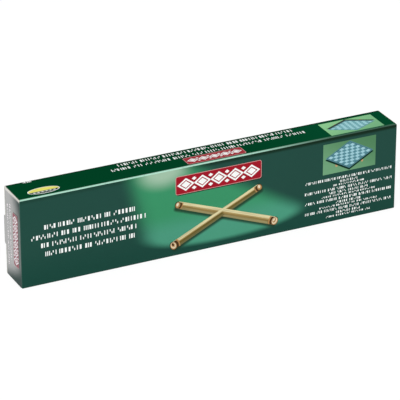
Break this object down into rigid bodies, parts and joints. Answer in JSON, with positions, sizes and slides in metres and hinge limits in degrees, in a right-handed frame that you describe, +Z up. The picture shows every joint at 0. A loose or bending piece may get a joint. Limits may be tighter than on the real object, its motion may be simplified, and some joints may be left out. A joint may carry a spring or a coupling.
{
  "type": "long tuck-end carton with a two-part wooden board turntable",
  "caption": "Long narrow printed paperboard tuck-end carton with opening end flaps, holding notched wooden cross arms with a turning wheel at each end, for a board game turntable.",
  "frame": {"origin": "centre of the bottom panel's outer face, on which the carton stands", "axes": "+X along the carton's length to its right end, +Y from the printed front panel to the back, +Z up"},
  "size_m": [0.4, 0.04, 0.0918],
  "materials": {
    "printed_front_board": "satin",
    "printed_back_board": "satin",
    "printed_top_board": "satin",
    "printed_bottom_board": "satin",
    "printed_end_board": "satin",
    "raw_board": "matte",
    "arm_wood": "satin",
    "wheel_wood": "satin",
    "screw_steel": "satin",
    "washer_zinc": "satin"
  },
  "bodies": {
    "carton": {"front_panel": "printed_front_board", "back_panel": "printed_back_board", "top_panel": "printed_top_board", "bottom_panel": "printed_bottom_board", "glue_flap": "raw_board"},
    "left_closure": {"left_closure": "printed_end_board"},
    "left_tuck_flap": {"left_tuck_flap": "raw_board"},
    "left_upper_dust_flap": {"left_upper_dust_flap": "raw_board"},
    "left_lower_dust_flap": {"left_lower_dust_flap": "raw_board"},
    "right_closure": {"right_closure": "printed_end_board"},
    "right_tuck_flap": {"right_tuck_flap": "raw_board"},
    "right_upper_dust_flap": {"right_upper_dust_flap": "raw_board"},
    "right_lower_dust_flap": {"right_lower_dust_flap": "raw_board"},
    "lower_arm": {"lower_arm": "arm_wood", "lower_axle_screws": "screw_steel", "lower_washers": "washer_zinc"},
    "lower_left_wheel": {"lower_left_wheel": "wheel_wood"},
    "lower_right_wheel": {"lower_right_wheel": "wheel_wood"},
    "upper_arm": {"upper_arm": "arm_wood", "upper_axle_screws": "screw_steel", "upper_washers": "washer_zinc"},
    "upper_left_wheel": {"upper_left_wheel": "wheel_wood"},
    "upper_right_wheel": {"upper_right_wheel": "wheel_wood"}
  },
  "joints": [
    {"name": "left_closure_fold", "type": "hinge", "parent": "carton", "child": "left_closure", "pos_m": [-0.1997, -0.01822, 0.0459], "axis": [0, 0, 1], "range_deg": [0, 180]},
    {"name": "left_tuck_fold", "type": "hinge", "parent": "left_closure", "child": "left_tuck_flap", "pos_m": [-0.1997, 0.01737, 0.0459], "axis": [0, 0, 1], "range_deg": [0, 27]},
    {"name": "left_upper_dust_fold", "type": "hinge", "parent": "carton", "child": "left_upper_dust_flap", "pos_m": [-0.199, 0, 0.0915], "axis": [0, 1, 0], "range_deg": [0, 90]},
    {"name": "left_lower_dust_fold", "type": "hinge", "parent": "carton", "child": "left_lower_dust_flap", "pos_m": [-0.199, 0, 0.0003], "axis": [0, -1, 0], "range_deg": [0, 90]},
    {"name": "right_closure_fold", "type": "hinge", "parent": "carton", "child": "right_closure", "pos_m": [0.1997, -0.01822, 0.0459], "axis": [0, 0, -1], "range_deg": [0, 180]},
    {"name": "right_tuck_fold", "type": "hinge", "parent": "right_closure", "child": "right_tuck_flap", "pos_m": [0.1997, 0.01737, 0.0459], "axis": [0, 0, -1], "range_deg": [0, 27]},
    {"name": "right_upper_dust_fold", "type": "hinge", "parent": "carton", "child": "right_upper_dust_flap", "pos_m": [0.199, 0, 0.0915], "axis": [0, -1, 0], "range_deg": [0, 90]},
    {"name": "right_lower_dust_fold", "type": "hinge", "parent": "carton", "child": "right_lower_dust_flap", "pos_m": [0.199, 0, 0.0003], "axis": [0, 1, 0], "range_deg": [0, 90]},
    {"name": "lower_arm_slide", "type": "slide", "parent": "carton", "child": "lower_arm", "axis": [1, 0, 0], "range_m": [-0.004, 0.004]},
    {"name": "lower_left_wheel_spin", "type": "hinge", "parent": "lower_arm", "child": "lower_left_wheel", "pos_m": [-0.1877, -0.00262, 0.0159], "axis": [1, 0, 0], "continuous": true},
    {"name": "lower_right_wheel_spin", "type": "hinge", "parent": "lower_arm", "child": "lower_right_wheel", "pos_m": [0.1877, -0.00262, 0.0159], "axis": [1, 0, 0], "continuous": true},
    {"name": "upper_arm_slide", "type": "slide", "parent": "carton", "child": "upper_arm", "axis": [1, 0, 0], "range_m": [-0.004, 0.004]},
    {"name": "upper_left_wheel_spin", "type": "hinge", "parent": "upper_arm", "child": "upper_left_wheel", "pos_m": [-0.1877, -0.00262, 0.0462], "axis": [1, 0, 0], "continuous": true},
    {"name": "upper_right_wheel_spin", "type": "hinge", "parent": "upper_arm", "child": "upper_right_wheel", "pos_m": [0.1877, -0.00262, 0.0462], "axis": [1, 0, 0], "continuous": true}
  ],
  "couplings": [
    {"joint": "left_tuck_fold", "follows": "left_closure_fold", "ratio": 0.15},
    {"joint": "left_upper_dust_fold", "follows": "left_closure_fold", "ratio": 0.5},
    {"joint": "left_lower_dust_fold", "follows": "left_closure_fold", "ratio": 0.5},
    {"joint": "right_tuck_fold", "follows": "right_closure_fold", "ratio": 0.15},
    {"joint": "right_upper_dust_fold", "follows": "right_closure_fold", "ratio": 0.5},
    {"joint": "right_lower_dust_fold", "follows": "right_closure_fold", "ratio": 0.5}
  ]
}
